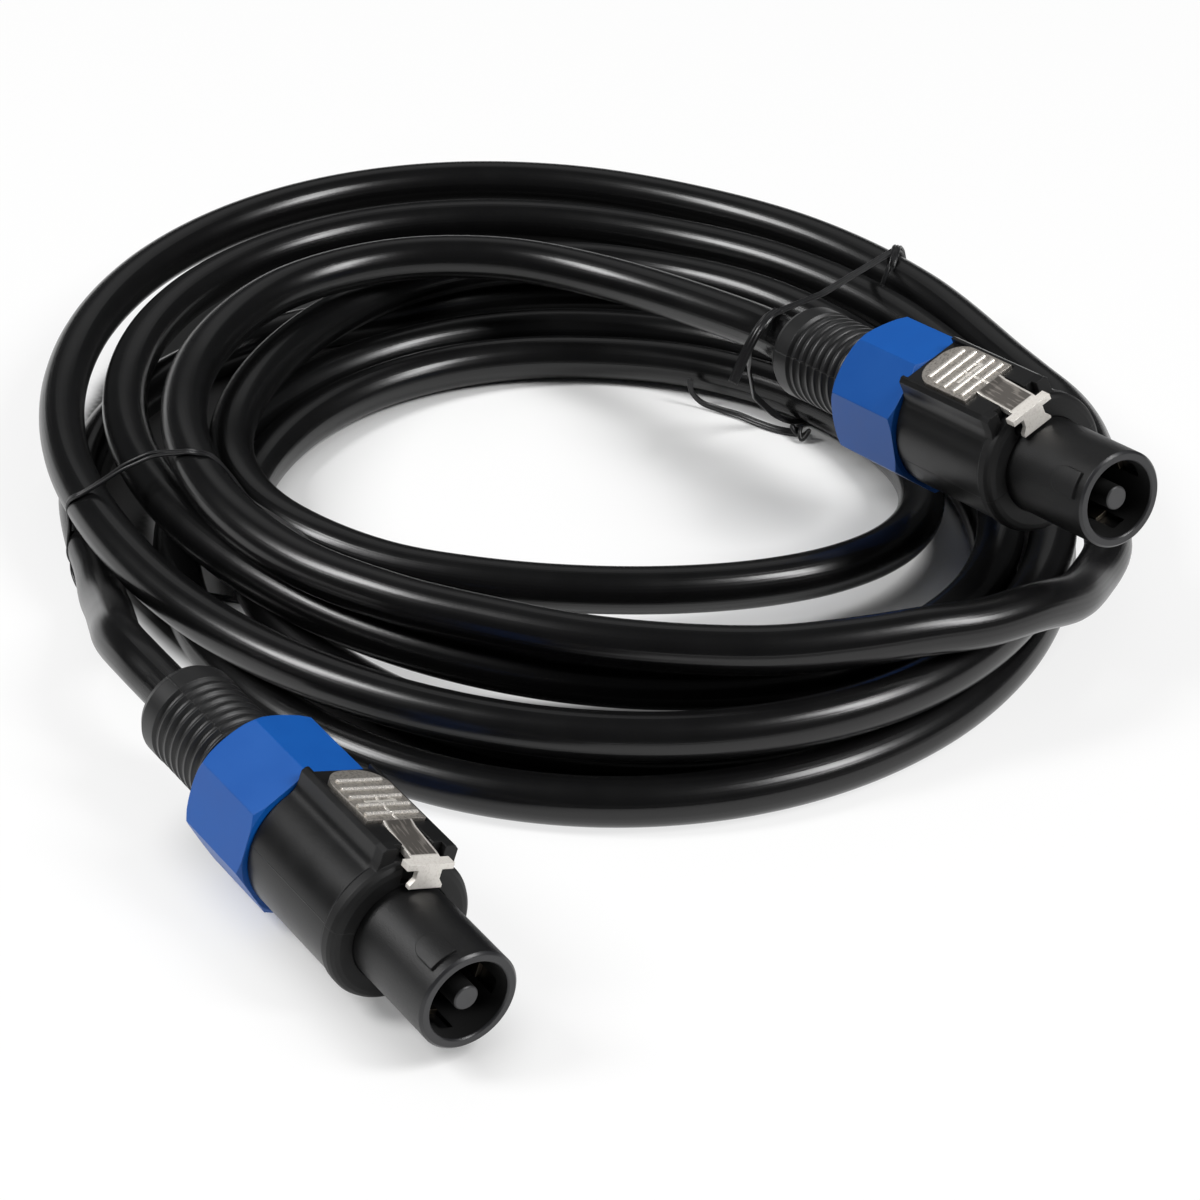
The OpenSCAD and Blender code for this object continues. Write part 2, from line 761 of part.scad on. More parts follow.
module cable_end_floor() { color([0.06, 0.06, 0.065]) at_floor() cable_end_body(); }
module wires_floor() { color([0.5, 0.1, 0.1]) at_floor() wires_body(); }
module shell_floor() { black() at_floor() shell_body(); }
module nose_floor() { black() at_floor() nose_body(); }
module post_floor() { color([0.3, 0.3, 0.32]) at_floor() post_body(); }
module contacts_floor() { color([0.75, 0.72, 0.66]) at_floor() contacts_body(); }
module screws_floor() { color([0.6, 0.6, 0.6]) at_floor() screws_body(); }
module latch_floor() { color([0.72, 0.7, 0.66]) at_floor() latch_body(); }
module latch_spring_floor() { color([0.6, 0.6, 0.6]) at_floor() spring_body(); }
module chuck_floor() { color([0.85, 0.85, 0.82]) at_floor() chuck_body(); }
module nut_floor() { color([0.06, 0.33, 0.68]) at_floor() rotate([floor_nut, 0, 0]) nut_body(); }
module boot_floor() { black() at_floor() rotate([floor_nut, 0, 0]) boot_body(); }

module cable_end_top() { color([0.06, 0.06, 0.065]) at_top() cable_end_body(); }
module wires_top() { color([0.5, 0.1, 0.1]) at_top() wires_body(); }
module shell_top() { black() at_top() shell_body(); }
module nose_top() { black() at_top() nose_body(); }
module post_top() { color([0.3, 0.3, 0.32]) at_top() post_body(); }
module contacts_top() { color([0.75, 0.72, 0.66]) at_top() contacts_body(); }
module screws_top() { color([0.6, 0.6, 0.6]) at_top() screws_body(); }
module latch_top() { color([0.72, 0.7, 0.66]) at_top() latch_body(); }
module latch_spring_top() { color([0.6, 0.6, 0.6]) at_top() spring_body(); }
module chuck_top() { color([0.85, 0.85, 0.82]) at_top() chuck_body(); }
module nut_top() { color([0.06, 0.33, 0.68]) at_top() rotate([top_nut, 0, 0]) nut_body(); }
module boot_top() { black() at_top() rotate([top_nut, 0, 0]) boot_body(); }

cable_coil();
cable_lead_floor();
cable_lead_top();
tie_thin();
tie_flat();
cable_end_floor();
wires_floor();
shell_floor();
nose_floor();
post_floor();
contacts_floor();
screws_floor();
latch_floor();
latch_spring_floor();
chuck_floor();
nut_floor();
boot_floor();
cable_end_top();
wires_top();
shell_top();
nose_top();
post_top();
contacts_top();
screws_top();
latch_top();
latch_spring_top();
chuck_top();
nut_top();
boot_top();
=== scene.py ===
"""Looks of a coiled loudspeaker cable with a twist-lock connector on each end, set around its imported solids.

Lengths are in metres unless a name ends in _mm. Each connector has its own frame: the rim of its nose at the
origin, its nose along +x and its latch on +z.
"""
import math

import bpy
import numpy as np
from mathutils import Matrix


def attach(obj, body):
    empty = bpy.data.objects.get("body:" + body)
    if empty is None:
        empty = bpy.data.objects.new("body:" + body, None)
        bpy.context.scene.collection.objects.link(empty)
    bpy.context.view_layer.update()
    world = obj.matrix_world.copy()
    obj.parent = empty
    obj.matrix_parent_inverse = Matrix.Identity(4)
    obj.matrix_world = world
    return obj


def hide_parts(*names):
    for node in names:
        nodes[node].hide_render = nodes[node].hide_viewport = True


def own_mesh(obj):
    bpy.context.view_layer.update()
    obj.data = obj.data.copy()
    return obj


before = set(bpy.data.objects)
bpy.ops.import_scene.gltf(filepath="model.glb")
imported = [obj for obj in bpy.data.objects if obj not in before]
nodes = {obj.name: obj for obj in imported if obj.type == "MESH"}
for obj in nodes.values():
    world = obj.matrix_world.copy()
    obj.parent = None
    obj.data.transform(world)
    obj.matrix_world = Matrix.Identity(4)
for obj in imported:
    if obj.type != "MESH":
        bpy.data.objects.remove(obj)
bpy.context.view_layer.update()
MM = 0.001


# ---- camera ---------------------------------------------------------------------------------------------------
def aim(thing, place, target):
    """Stands a camera or lamp at a place and turns its -z axis to a target, upright."""
    forward = np.array(target, float) - np.array(place, float)
    forward /= np.linalg.norm(forward)
    side = np.cross(forward, (0, 0, 1))
    side /= np.linalg.norm(side)
    upward = np.cross(side, forward)
    matrix = np.eye(4)
    matrix[:3, 0], matrix[:3, 1], matrix[:3, 2], matrix[:3, 3] = side, upward, -forward, place
    thing.matrix_world = matrix.T.tolist()


CAMERA_PLACE, CAMERA_TARGET, LENS_MM = (0.63389, -0.40278, 0.45052), (0.0308, -0.0036, 0.0), 116.0


def add_camera():
    """A long lens that looks down at the coil from the side where both noses point."""
    camera = bpy.data.objects.new("camera", bpy.data.cameras.new("camera"))
    bpy.context.scene.collection.objects.link(camera)
    camera.data.sensor_width = 36
    camera.data.lens = LENS_MM
    camera.data.clip_start = 0.05
    aim(camera, CAMERA_PLACE, CAMERA_TARGET)
    bpy.context.scene.camera = camera


add_camera()


# ---- where the connectors stand -------------------------------------------------------------------------------
class Stand:
    """Where one connector stands: a point of its rim in mm, its dip about y and its lean about its own axis."""

    def __init__(self, name, place_mm, dip, lean):
        self.name = name
        self.place = np.array(place_mm) * MM
        self.dip, self.lean = math.radians(dip), math.radians(lean)
        cd, sd, cl, sl = math.cos(self.dip), math.sin(self.dip), math.cos(self.lean), math.sin(self.lean)
        turn_dip = np.array([[cd, 0, sd], [0, 1, 0], [-sd, 0, cd]])
        turn_lean = np.array([[1, 0, 0], [0, cl, -sl], [0, sl, cl]])
        self.turn = turn_dip @ turn_lean

    def point(self, x_mm, y_mm=0.0, z_mm=0.0):
        """A point of the connector's own frame in the part's frame."""
        return self.place + self.turn @ (np.array([x_mm, y_mm, z_mm], float) * MM)


STANDS = [
    Stand("floor", (153.2, -113.2, 14.88), 2.2, -18.6),
    Stand("top", (121.8, 64.2, 48.2), -7.2, 20),
]
ON_FLOOR = STANDS[0]


# ---- the cable's route ----------------------------------------------------------------------------------------
# CABLE_MM is the cable's diameter and SKIN_MM the radius of its skin here, just over the solids' own. STUB_END and
# BOOT_END are how far the cable's straight stub and the boot reach behind the rim.
CABLE_MM, SKIN_MM = 10.4, 5.22
TURNS_IN, TURNS_OUT = 2.42, 2.85
COIL_START = 176
LAYER_PITCH = 11.0
TIE_LIFT, TIE_LEVEL, TIE_REACH = 0.96, 16, 24
STUB_END, BOOT_END = 117.8, 109.8
THIN_TIE = ((-25.2, -58.6), 250.0)
FLAT_TIE = ((-10.2, 62.4), 115.5)
LOOP_AT = np.array([0, 1.2, TURNS_IN, TURNS_IN + 0.88, TURNS_IN + 1.85, TURNS_IN + TURNS_OUT])
LOOPS = np.array([
    (4.7, 12.9, 105.2, 107.2, 81), (18.6, 4.8, 88.8, 101.6, 69.2), (-5.8, 18.6, 76, 59.7, 34.6),
    (-6.4, 11.2, 85.6, 105.7, 98), (-12.5, 17.1, 95, 122, 93.9), (-1.9, 3.3, 118.8, 153.5, 74.3)])
FLOOR_ROUTE = np.array([
    (-107.6, -10.1, 5.2), (-106.8, -22.6, 5.2), (-104.2, -35.1, 5.2), (-99.6, -47.1, 5.2), (-92.7, -58.1, 5.2),
    (-84.2, -67.6, 5.2), (-74.7, -75.6, 5.2), (-64.2, -82.1, 5.2), (-53.7, -86.9, 5.2), (-43.2, -90.8, 5.2),
    (-32.2, -94.4, 5.2), (-21.2, -98.9, 6), (-10.2, -102.8, 9.6), (0.8, -107.2, 14), (12, -111.4, 17.9)])
TOP_ROUTE = np.array([
    (50.4, 115, 16.2), (61.4, 109.6, 16.2), (73, 102.8, 16.2), (84.6, 93.9, 16.2), (96.8, 84.6, 16.6),
    (105.6, 72.6, 17.8), (113.4, 60.6, 21.4), (117.2, 47.2, 25.6), (117.8, 33.6, 27), (115.2, 20.4, 28.1),
    (110.6, 5.4, 28.2), (103.8, -9.6, 28), (93.8, -23.6, 27.9), (79.8, -38.6, 27.9), (62.8, -51.6, 27.9),
    (43.8, -63.6, 27.9), (18.8, -73.1, 27.9), (-9.2, -75.1, 27.9), (-43.2, -65.6, 27.9), (-73.2, -43.6, 27.9),
    (-89.2, -14.6, 28.1), (-88.2, 14.4, 28.1), (-74.2, 37.4, 28.2), (-51.2, 52.4, 28.6)])


def ease(t):
    """A smooth step from 0 to 1: 3t^2 - 2t^3 between 0 and 1."""
    t = np.clip(t, 0, 1)
    return t * t * (3 - 2 * t)


def tie_axes(points_mm, tie):
    """Distances of points along a tie's upright plane and aside from it, in mm."""
    (x, y), turn = tie
    c, s = math.cos(math.radians(turn)), math.sin(math.radians(turn))
    dx, dy = points_mm[:, 0] - x, points_mm[:, 1] - y
    return dx * c + dy * s, dy * c - dx * s


def lift(points_mm):
    """How far the cable rides up over the ties: level for 16 mm each side of a tie, then eased out in 24 mm."""
    rise = np.zeros(len(points_mm))
    for tie in (THIN_TIE, FLAT_TIE):
        along, aside = tie_axes(points_mm, tie)
        rise = np.maximum(rise, np.where(along < -20, 0, 1 - ease((np.abs(aside) - TIE_LEVEL) / TIE_REACH)))
    return TIE_LIFT * rise


def loop_shape(u):
    """Middle, half lengths and turned direction of the coil's ellipse after u turns: a cubic through the rows of
    LOOPS whose slope at each row is that between its neighbours."""
    slopes = np.array([(LOOPS[min(k + 1, 5)] - LOOPS[max(k - 1, 0)])
                       / (LOOP_AT[min(k + 1, 5)] - LOOP_AT[max(k - 1, 0)]) for k in range(6)])
    k = np.clip(np.searchsorted(LOOP_AT, u) - 1, 0, 4)
    span = (LOOP_AT[k + 1] - LOOP_AT[k])[:, None]
    t = (u[:, None] - LOOP_AT[k][:, None]) / span
    rise = t * t * (3 - 2 * t)
    return (LOOPS[k] * (1 - rise) + LOOPS[k + 1] * rise
            + slopes[k] * span * t * (1 - t) ** 2 - slopes[k + 1] * span * t * t * (1 - t)).T


def coil_points(u):
    """The coil's centreline in mm after u turns: an ellipse whose middle, half lengths and turned direction
    change along the way, on the floor at first and one layer up from the innermost loop on."""
    x, y, wide, long, turn = loop_shape(u)
    turn = np.radians(turn)
    angle = math.radians(COIL_START) - 2 * math.pi * u - turn
    a, b = wide * np.cos(angle), long * np.sin(angle)
    flat = np.stack([x + a * np.cos(turn) - b * np.sin(turn), y + a * np.sin(turn) + b * np.cos(turn)], 1)
    z = CABLE_MM / 2 + LAYER_PITCH * ease((u - TURNS_IN + 0.25) / 0.5) + lift(flat)
    return np.column_stack([flat, z])


def unit(v):
    """Vectors brought to length one."""
    return v / np.linalg.norm(v, axis=-1, keepdims=True)


def smooth_line(knots, step):
    """A centripetal Catmull-Rom line through the knots, resampled so that its points lie a step apart."""
    knots = np.asarray(knots, float)
    knots = np.vstack([2 * knots[0] - knots[1], knots, 2 * knots[-1] - knots[-2]])
    gaps = np.sqrt(np.linalg.norm(np.diff(knots, axis=0), axis=1))
    p0, p1, p2, p3 = knots[:-3], knots[1:-2], knots[2:-1], knots[3:]
    g0, g1, g2 = gaps[:-2, None], gaps[1:-1, None], gaps[2:, None]
    m1 = g1 * ((p1 - p0) / g0 - (p2 - p0) / (g0 + g1)) + (p2 - p1)
    m2 = g1 * ((p3 - p2) / g2 - (p3 - p1) / (g1 + g2)) + (p2 - p1)
    t = np.linspace(0, 1, 24, endpoint=False)[None, :, None]
    p0, p1, m1, m2 = p1[:, None], p2[:, None], m1[:, None], m2[:, None]
    line = (p0 * (2 * t ** 3 - 3 * t ** 2 + 1) + m1 * (t ** 3 - 2 * t ** 2 + t)
            + p1 * (3 * t ** 2 - 2 * t ** 3) + m2 * (t ** 3 - t ** 2))
    line = np.vstack([line.reshape(-1, 3), knots[-2]])
    run = np.concatenate([[0], np.cumsum(np.linalg.norm(np.diff(line, axis=0), axis=1))])
    places = np.linspace(0, run[-1], max(2, int(round(run[-1] / step)) + 1))
    return np.stack([np.interp(places, run, line[:, k]) for k in range(3)], 1)


def cable_knots():
    """The cable's centreline from inside the boot on the floor, round the coil, to inside the boot on top."""
    turns = TURNS_IN + TURNS_OUT
    coil = coil_points(np.linspace(0, turns, round(turns * 24) + 1))
    first, last = unit(coil[0] - coil[1]), unit(coil[-1] - coil[-2])
    start, end = coil[0] + first * CABLE_MM, coil[-1] + last * CABLE_MM
    floor_route = FLOOR_ROUTE + lift(FLOOR_ROUTE)[:, None] * (0, 0, 1)
    top_route = TOP_ROUTE + lift(TOP_ROUTE)[:, None] * (0, 0, 1)
    ends = [np.array([stand.point(-x) for x in (BOOT_END - 3, STUB_END, STUB_END + CABLE_MM)]) / MM
            for stand in STANDS]
    return np.vstack([ends[0], floor_route[::-1], start + first * CABLE_MM, start, coil,
                      end, end + last * CABLE_MM, top_route, ends[1][::-1]]) * MM


# ---- meshes ---------------------------------------------------------------------------------------------------
def grid_mesh(name, points, wrap_u=False, wrap_v=False, caps=(), uv=None):
    """A mesh from a grid of points (rows u, columns v), wrapped round in u or v, with a fan of faces on the first
    (0) or last (1) row where caps names it. uv gives a row and a column coordinate for its UV map."""
    rows, columns = points.shape[:2]
    u, v = np.meshgrid(np.arange(rows if wrap_u else rows - 1), np.arange(columns if wrap_v else columns - 1),
                       indexing="ij")
    u, v = u.ravel(), v.ravel()
    u2, v2 = (u + 1) % rows, (v + 1) % columns
    quads = np.stack([u * columns + v, u2 * columns + v, u2 * columns + v2, u * columns + v2], 1)
    loops, sizes = [quads.ravel()], [np.full(len(quads), 4)]
    if 0 in caps:
        loops.append(np.arange(columns))
        sizes.append([columns])
    if 1 in caps:
        loops.append((rows - 1) * columns + np.arange(columns)[::-1])
        sizes.append([columns])
    loops, sizes = np.concatenate(loops), np.concatenate(sizes)
    mesh = bpy.data.meshes.new(name)
    mesh.vertices.add(rows * columns)
    mesh.vertices.foreach_set("co", points.reshape(-1).astype(np.float32))
    mesh.loops.add(len(loops))
    mesh.loops.foreach_set("vertex_index", loops.astype(np.int32))
    mesh.polygons.add(len(sizes))
    mesh.polygons.foreach_set("loop_start", np.concatenate([[0], np.cumsum(sizes)[:-1]]).astype(np.int32))
    mesh.polygons.foreach_set("use_smooth", np.ones(len(sizes), bool))
    if uv is not None:
        row_value, column_value = uv
        corner_u = np.stack([u, u + 1, u + 1, u], 1)
        corner_v = np.stack([v, v, v + 1, v + 1], 1)
        flat = np.stack([np.interp(corner_u, np.arange(len(row_value)), row_value),
                         np.interp(corner_v, np.arange(len(column_value)), column_value)], 2).reshape(-1, 2)
        flat = np.vstack([flat, np.zeros((len(loops) - len(flat), 2))])
        mesh.uv_layers.new(name="along").data.foreach_set("uv", flat.ravel().astype(np.float32))
    mesh.update(calc_edges=True)
    mesh.validate()
    piece = bpy.data.objects.new(name, mesh)
    bpy.context.scene.collection.objects.link(piece)
    return piece


def carried_frames(line):
    """Two unit vectors across a line at each of its points, carried along it without twist about the upright:
    the first lies level, the second is square to it and to the line."""
    ahead = unit(np.gradient(line, axis=0))
    level = unit(np.cross((0, 0, 1.0), ahead))
    return level, np.cross(ahead, level)


def tube(name, line, radius, sides):
    """A round tube along a line: each ring is the circle radius * (cos a, sin a) across the line."""
    level, upright = carried_frames(line)
    angle = np.linspace(0, 2 * np.pi, sides, endpoint=False)
    rings = line[:, None] + radius * (np.cos(angle)[None, :, None] * level[:, None]
                                      + np.sin(angle)[None, :, None] * upright[:, None])
    run = np.concatenate([[0], np.cumsum(np.linalg.norm(np.diff(line, axis=0), axis=1))])
    return grid_mesh(name, rings[:, ::-1], wrap_v=True, caps=(0, 1), uv=(run, np.linspace(0, 1, sides + 1)))


def even(line, step, closed=False):
    """A line resampled so that its points lie a step apart; a closed one is given without its repeated end."""
    run = np.concatenate([[0], np.cumsum(np.linalg.norm(np.diff(line, axis=0), axis=1))])
    places = np.linspace(0, run[-1], max(2, int(round(run[-1] / step)) + 1))
    spaced = np.stack([np.interp(places, run, line[:, k]) for k in range(line.shape[1])], 1)
    return (places[:-1], spaced[:-1]) if closed else (places, spaced)


def strand(name, line, across, outline, twist=0.0, closed=False):
    """A section carried along a line: each of its points is moved by outline (across, away) from the line, where
    across keeps to a given direction as nearly as the line lets it and twist turns the section about the line."""
    ahead = unit(np.roll(line, -1, 0) - np.roll(line, 1, 0)) if closed else unit(np.gradient(line, axis=0))
    side = unit(across - (ahead * across).sum(1, keepdims=True) * ahead)
    away = np.cross(ahead, side)
    twist = np.broadcast_to(np.asarray(twist, float), (len(line),))[:, None]
    side, away = side * np.cos(twist) + away * np.sin(twist), away * np.cos(twist) - side * np.sin(twist)
    rings = line[:, None] + outline[None, :, :1] * side[:, None] + outline[None, :, 1:] * away[:, None]
    return grid_mesh(name, rings[:, ::-1], wrap_u=closed, wrap_v=True, caps=() if closed else (0, 1))


def round_section(radius, sides=10):
    """A circle of a radius."""
    angle = np.linspace(0, 2 * np.pi, sides, endpoint=False)
    return radius * np.column_stack([np.cos(angle), np.sin(angle)])


def ribbed_section(wide, thick, ribs=3, sides=48):
    """A flat strip's section: a squared oval wide by thick whose two faces swell at the wires inside it."""
    angle = np.linspace(0, 2 * np.pi, sides, endpoint=False)
    c, s = np.cos(angle), np.sin(angle)
    x = np.sign(c) * np.abs(c) ** 0.7
    y = np.sign(s) * np.abs(s) ** 0.5 * (1 + 0.35 * np.cos(np.pi * ribs * x))
    return np.column_stack([x * wide / 2, y * thick / 2])


# ---- shader maths ---------------------------------------------------------------------------------------------
class Value:
    """An output socket of a finish's tree; arithmetic on it adds Math nodes."""

    def __init__(self, finish, socket):
        self.finish, self.socket = finish, socket

    def math(self, operation, *others):
        return self.finish.node("ShaderNodeMath", {"operation": operation},
                                dict(enumerate((self,) + others)))

    def __add__(self, other):
        return self.math("ADD", other)

    __radd__ = __add__

    def __sub__(self, other):
        return self.math("SUBTRACT", other)

    def __rsub__(self, other):
        return (self * -1) + other

    def __mul__(self, other):
        return self.math("MULTIPLY", other)

    __rmul__ = __mul__

    def size(self):
        """The value without its sign."""
        return self.math("ABSOLUTE")

    def above(self, edge, soft):
        """0 below an edge and 1 above it, eased over a soft width."""
        return self.finish.node("ShaderNodeMapRange", {"interpolation_type": "SMOOTHSTEP"},
                                {"Value": self, "From Min": edge - soft / 2, "From Max": edge + soft / 2})

    def near(self, middle, width, soft):
        """1 within a band about a middle value and 0 outside it."""
        return self.above(middle - width / 2, soft) * (1 - self.above(middle + width / 2, soft))


class Finish:
    """One material: a Principled shader whose sockets take numbers, colours or Values."""

    def __init__(self, name, **sockets):
        self.material = bpy.data.materials.new(name)
        self.material.use_nodes = True
        self.tree = self.material.node_tree
        self.shader = self.tree.nodes["Principled BSDF"]
        self.set(**sockets)

    def node(self, kind, settings=None, inputs=None, output=0):
        """A node of a type, with its settings made first, then its sockets' values or links."""
        made = self.tree.nodes.new(kind)
        for key, value in (settings or {}).items():
            if key == "stops":
                ramp = made.color_ramp
                while len(ramp.elements) < len(value):
                    ramp.elements.new(1)
                for element, (place, colour) in zip(ramp.elements, value):
                    element.position, element.color = place, (*colour, 1)
            else:
                setattr(made, key, value)
        for key, value in (inputs or {}).items():
            self.feed(made.inputs[key], value)
        return Value(self, made.outputs[output])

    def feed(self, socket, value):
        """Links a Value to a socket, or sets a number or colour on it."""
        if isinstance(value, Value):
            self.tree.links.new(value.socket, socket)
        elif hasattr(value, "__len__") and socket.type == "RGBA" and len(value) == 3:
            socket.default_value = (*value, 1)
        else:
            socket.default_value = value

    def set(self, **sockets):
        """Feeds the Principled shader's sockets; an underscore in a name stands for a space."""
        for key, value in sockets.items():
            self.feed(self.shader.inputs[key.replace("_", " ")], value)
        return self

    def place(self):
        """Object coordinates, which are the part's own frame."""
        return self.node("ShaderNodeTexCoord", {}, {}, "Object")

    def stood(self, stand):
        """Object coordinates brought into a connector's own frame."""
        return self.node("ShaderNodeMapping", {"vector_type": "TEXTURE"},
                         {"Vector": self.place(), "Location": tuple(stand.place),
                          "Rotation": (stand.lean, stand.dip, 0)})

    def axes(self, vector):
        """The three coordinates of a vector, in mm."""
        split = self.tree.nodes.new("ShaderNodeSeparateXYZ")
        self.tree.links.new(vector.socket, split.inputs[0])
        return [Value(self, split.outputs[k]) * 1000 for k in range(3)]

    def noise(self, scale_mm, vector=None, detail=2.0, roughness=0.5, stretch=(1, 1, 1)):
        """Noise whose cells are about scale_mm across, from 0 to 1."""
        vector = vector or self.place()
        spread = self.node("ShaderNodeMapping", {}, {"Vector": vector, "Scale": stretch})
        return self.node("ShaderNodeTexNoise", {},
                         {"Vector": spread, "Scale": 1 / (scale_mm * MM), "Detail": detail,
                          "Roughness": roughness})

    def mix(self, share, first, second):
        """A colour mixed between two colours."""
        return self.node("ShaderNodeMix", {"data_type": "RGBA"}, {0: share, 6: first, 7: second}, 2)

    def relief(self, height_mm, strength=1.0, normal=None):
        """A bump from a height in mm, on top of another normal where one is given."""
        inputs = {"Height": height_mm, "Distance": MM, "Strength": strength}
        if normal is not None:
            inputs["Normal"] = normal
        return self.node("ShaderNodeBump", {}, inputs)

    def soft_edges(self, radius_mm):
        """A normal that rounds the piece's sharp edges."""
        return self.node("ShaderNodeBevel", {"samples": 6}, {"Radius": radius_mm * MM})

    def coat(self, *pieces):
        """Puts the finish on pieces in place of what they had."""
        for piece in pieces:
            piece.data.materials.clear()
            piece.data.materials.append(self.material)
        return self


# ---- finishes -------------------------------------------------------------------------------------------------
# Places on a latch in its connector's frame, in mm: the top of its thumb plate, the plate's middle and length,
# its arrow, and its neck's middle and length. RING_PITCH is that of the fine rings on a boot.
LATCH_TOP = 18.0
PLATE_X, PLATE_LONG, ARROW_X = -44, 18.4, -41.5
NECK_X, NECK_LONG = -29.7, 10.2
RING_PITCH = 0.89


def jacket_finish():
    """Black PVC jacket: satin, with faint lines that its die drew along it and slow changes of gloss."""
    finish = Finish("black_pvc_jacket")
    along = finish.node("ShaderNodeUVMap", {"uv_map": "along"})
    lines = finish.noise(1000, along, 2.0, 0.5, stretch=(1.2, 44.0, 1.0))
    dull = finish.noise(9, None, 3.0)
    grain = finish.noise(0.35, None, 1.0)
    return finish.set(
        Base_Color=finish.mix(dull, (0.0032, 0.0032, 0.0034), (0.0055, 0.0055, 0.0056)),
        Roughness=0.21 + 0.08 * dull,
        Normal=finish.relief(0.05 * lines + 0.002 * grain))


def rubber_finish(stand, seam):
    """Black rubber of the boot: fine rings on its ribs, and the line of its mould, which stands seam degrees from
    the latch's side and where the rings jog."""
    finish = Finish("boot_rubber_" + stand.name)
    x, y, z = finish.axes(finish.stood(stand))
    c, s = math.cos(math.radians(seam)), math.sin(math.radians(seam))
    beside, out = y * c + z * s, z * c - y * s
    line = beside.near(0, 0.30, 0.16) * out.above(0, 0.5)
    ringed = x.near(-91.5, 21.6, 0.8)
    rings = (x * (2 * math.pi / RING_PITCH) + beside.above(0, 0.05) * 1.9).math("SINE")
    grain = finish.noise(0.3, None, 2.0)
    dull = finish.noise(6, None, 3.0)
    return finish.set(
        Base_Color=finish.mix(0.75 * dull + 0.25 * line, (0.0085, 0.0085, 0.0088), (0.0140, 0.0140, 0.0143)),
        Roughness=0.36 + 0.12 * dull,
        Normal=finish.relief(0.012 * grain + 0.045 * ringed * rings + 0.12 * line, 1.0,
                             finish.soft_edges(0.25)))


def shell_finish(stand):
    """Black satin plastic of the shell, with the thin line where its mould parted, painted lighter as a highlight.
    """
    finish = Finish("shell_plastic_" + stand.name)
    x, y, z = finish.axes(finish.stood(stand))
    parting_ridge_and_painted_highlight = z.near(0.4, 0.16, 0.12)
    grain = finish.noise(0.5, None, 2.0)
    dull = finish.noise(7, None, 3.0)
    return finish.set(
        # painted highlight: the parting line's colour is lifted; its ridge is a real bump
        Base_Color=finish.mix((dull + parting_ridge_and_painted_highlight).math("MINIMUM", 1), (0.0038, 0.0038, 0.0040),
                              (0.0072, 0.0072, 0.0074)),
        Specular_IOR_Level=0.36,
        Roughness=0.27 + 0.12 * dull + 0.20 * x.above(-28.2, 0.6),
        Normal=finish.relief(0.010 * grain + 0.06 * parting_ridge_and_painted_highlight, 1.0, finish.soft_edges(0.35)))


def nose_finish(stand):
    """Black plastic with a fine sparked texture, a smoother, lighter rim, and a dull inside painted black as shade.
    """
    finish = Finish("nose_plastic_" + stand.name)
    x, y, z = finish.axes(finish.stood(stand))
    rim = x.above(-0.55, 0.2)
    # painted shade: inside the bore the colour is turned near black
    painted_bore_shade = (1 - (y * y + z * z).above(8.5 ** 2, 3)) * (1 - rim)
    grain = finish.noise(0.28, None, 3.0, 0.65)
    outer = finish.mix(rim, (0.0045, 0.0045, 0.0047), (0.022, 0.022, 0.024))
    return finish.set(
        Base_Color=finish.mix(painted_bore_shade, outer, (0.0006, 0.0006, 0.0006)),
        Roughness=0.42 - 0.10 * rim + 0.5 * painted_bore_shade,
        Normal=finish.relief((1 - rim) * (1 - painted_bore_shade) * 0.05 * grain + 0.004 * grain, 1.0,
                             finish.soft_edges(0.3)))


def post_finish(stand):
    """Grey front of the centre post, bare from the mould; its side, deep in the bore, is painted near black as
    shade.
    """
    finish = Finish("post_grey_" + stand.name)
    x, y, z = finish.axes(finish.stood(stand))
    front = x.above(-1.25, 0.2)
    cloud = finish.noise(3, None, 3.0)
    face = finish.mix(cloud, (0.037, 0.037, 0.039), (0.048, 0.048, 0.050))
    return finish.set(
        # painted shade: the post's side is coloured near black, its front grey
        Base_Color=finish.mix(front, (0.0015, 0.0015, 0.0015), face),
        Roughness=0.75 - 0.35 * front,
        Normal=finish.relief(0.01 * cloud, 1.0, finish.soft_edges(0.2)))


def nut_finish(stand):
    """Blue plastic of the gland nut, satin, with moulded-in unevenness."""
    finish = Finish("nut_blue_" + stand.name)
    cloud = finish.noise(8, None, 3.0)
    grain = finish.noise(0.6, None, 2.0)
    return finish.set(
        Base_Color=finish.mix(cloud, (0.0012, 0.082, 0.375), (0.0022, 0.100, 0.425)),
        Roughness=0.36 + 0.10 * cloud,
        Specular_IOR_Level=0.36,
        Normal=finish.relief(0.006 * grain, 1.0, finish.soft_edges(0.35)))


